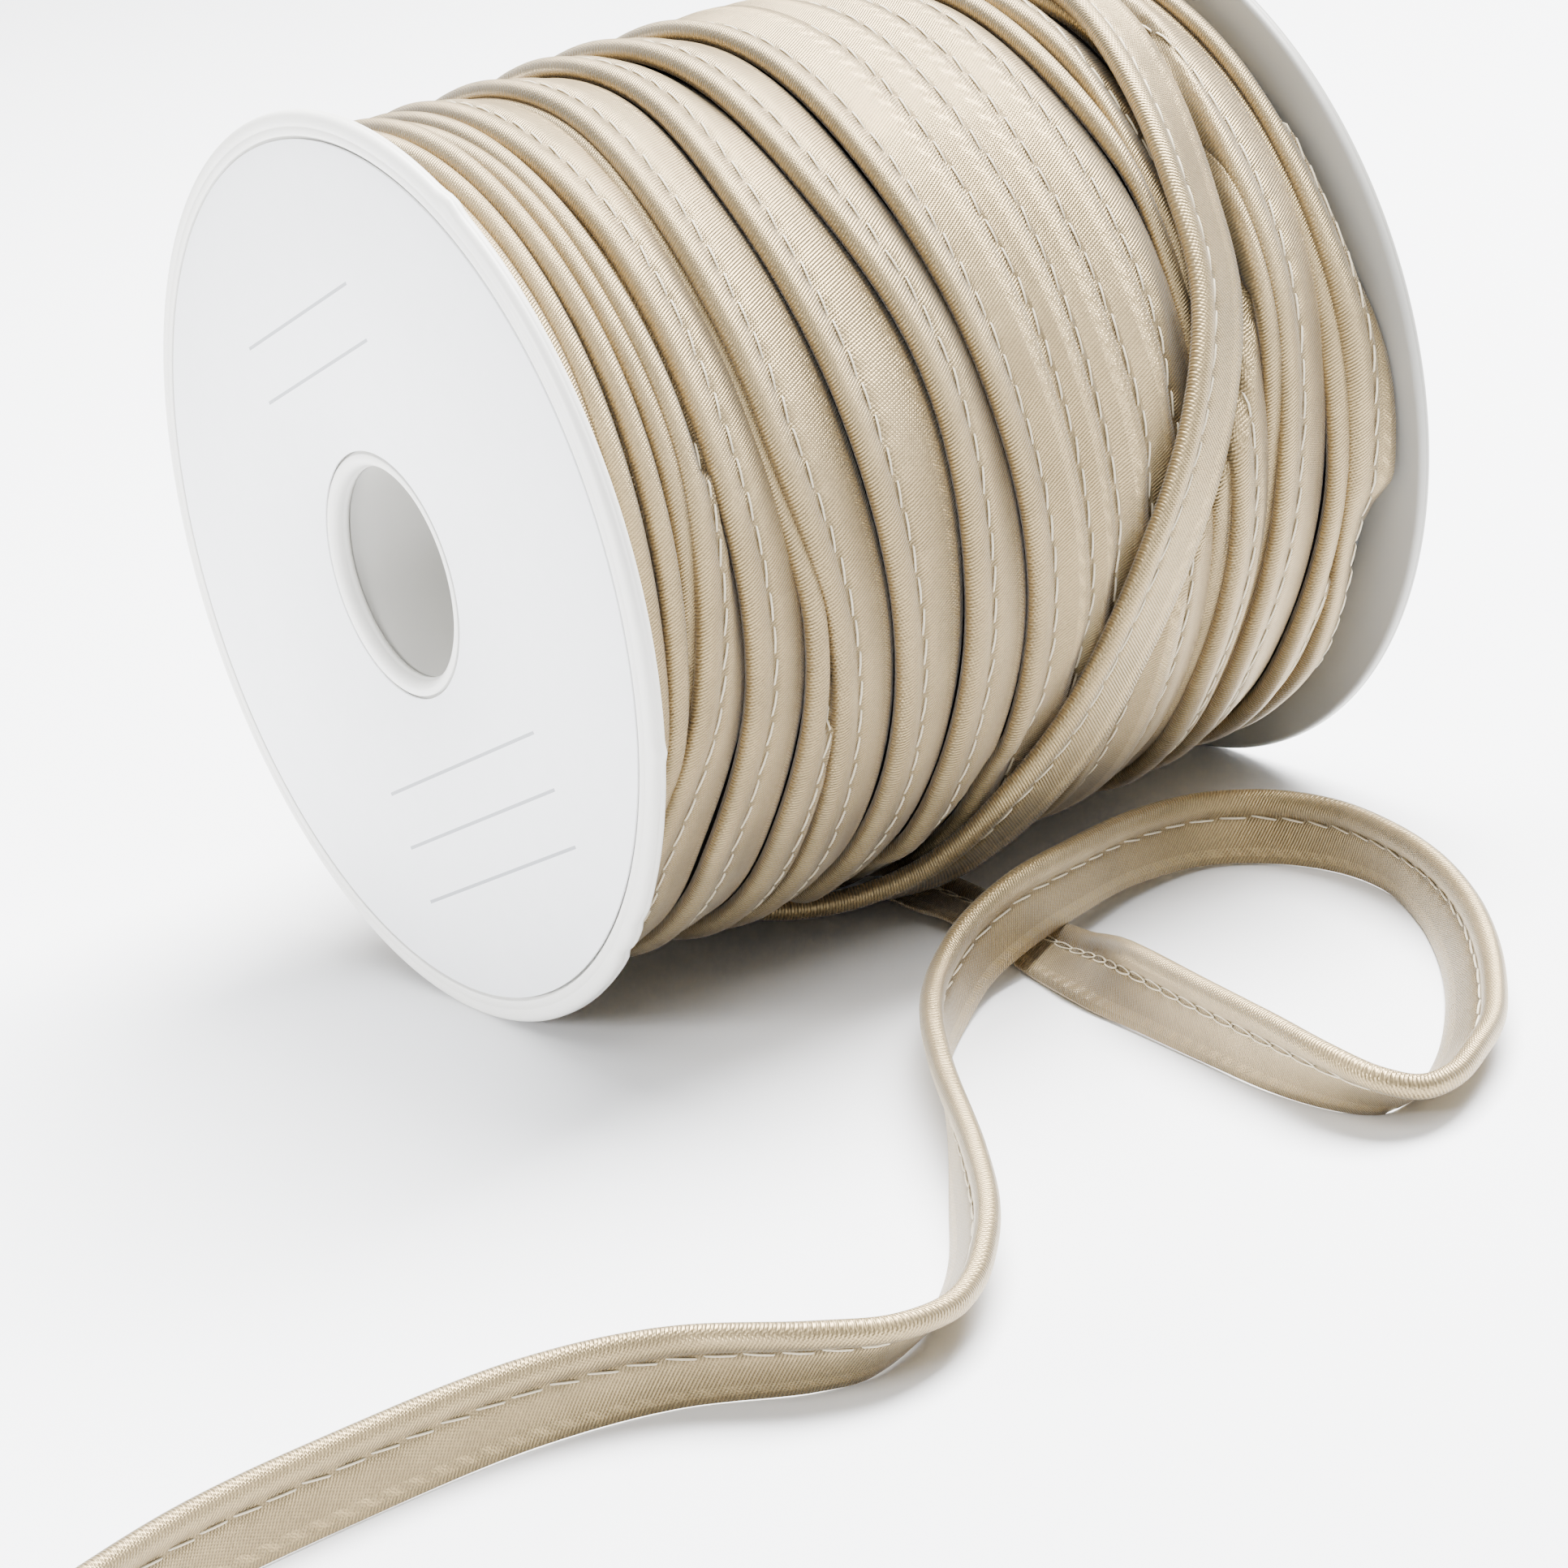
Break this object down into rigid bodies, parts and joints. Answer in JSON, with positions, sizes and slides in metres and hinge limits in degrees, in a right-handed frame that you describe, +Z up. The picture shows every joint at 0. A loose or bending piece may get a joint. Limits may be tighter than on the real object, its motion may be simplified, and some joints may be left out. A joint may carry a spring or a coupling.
{
  "type": "roll of piping trim",
  "caption": "Satin piping trim wound on a flanged plastic spool with a paper end label, one strand crossing the winding and a loose end looping out over the surface.",
  "frame": {"origin": "centre of the spool's footprint on the surface it rests on, without the loose end", "axes": "+X along the spool's axis from the labelled flange to the far flange, +Z up, -Y towards the side where the loose end lies"},
  "size_m": [0.2454, 0.1985, 0.1199],
  "materials": {
    "spool_plastic": "satin moulded plastic",
    "label_paper": "smooth coated paper",
    "satin_piping": "satin weave with a soft sheen"
  },
  "bodies": {
    "root": {"flange_near": "spool_plastic", "flange_far": "spool_plastic", "core_tube": "spool_plastic", "label": "label_paper", "winding": "satin_piping", "loose_end": "satin_piping"}
  },
  "joints": []
}
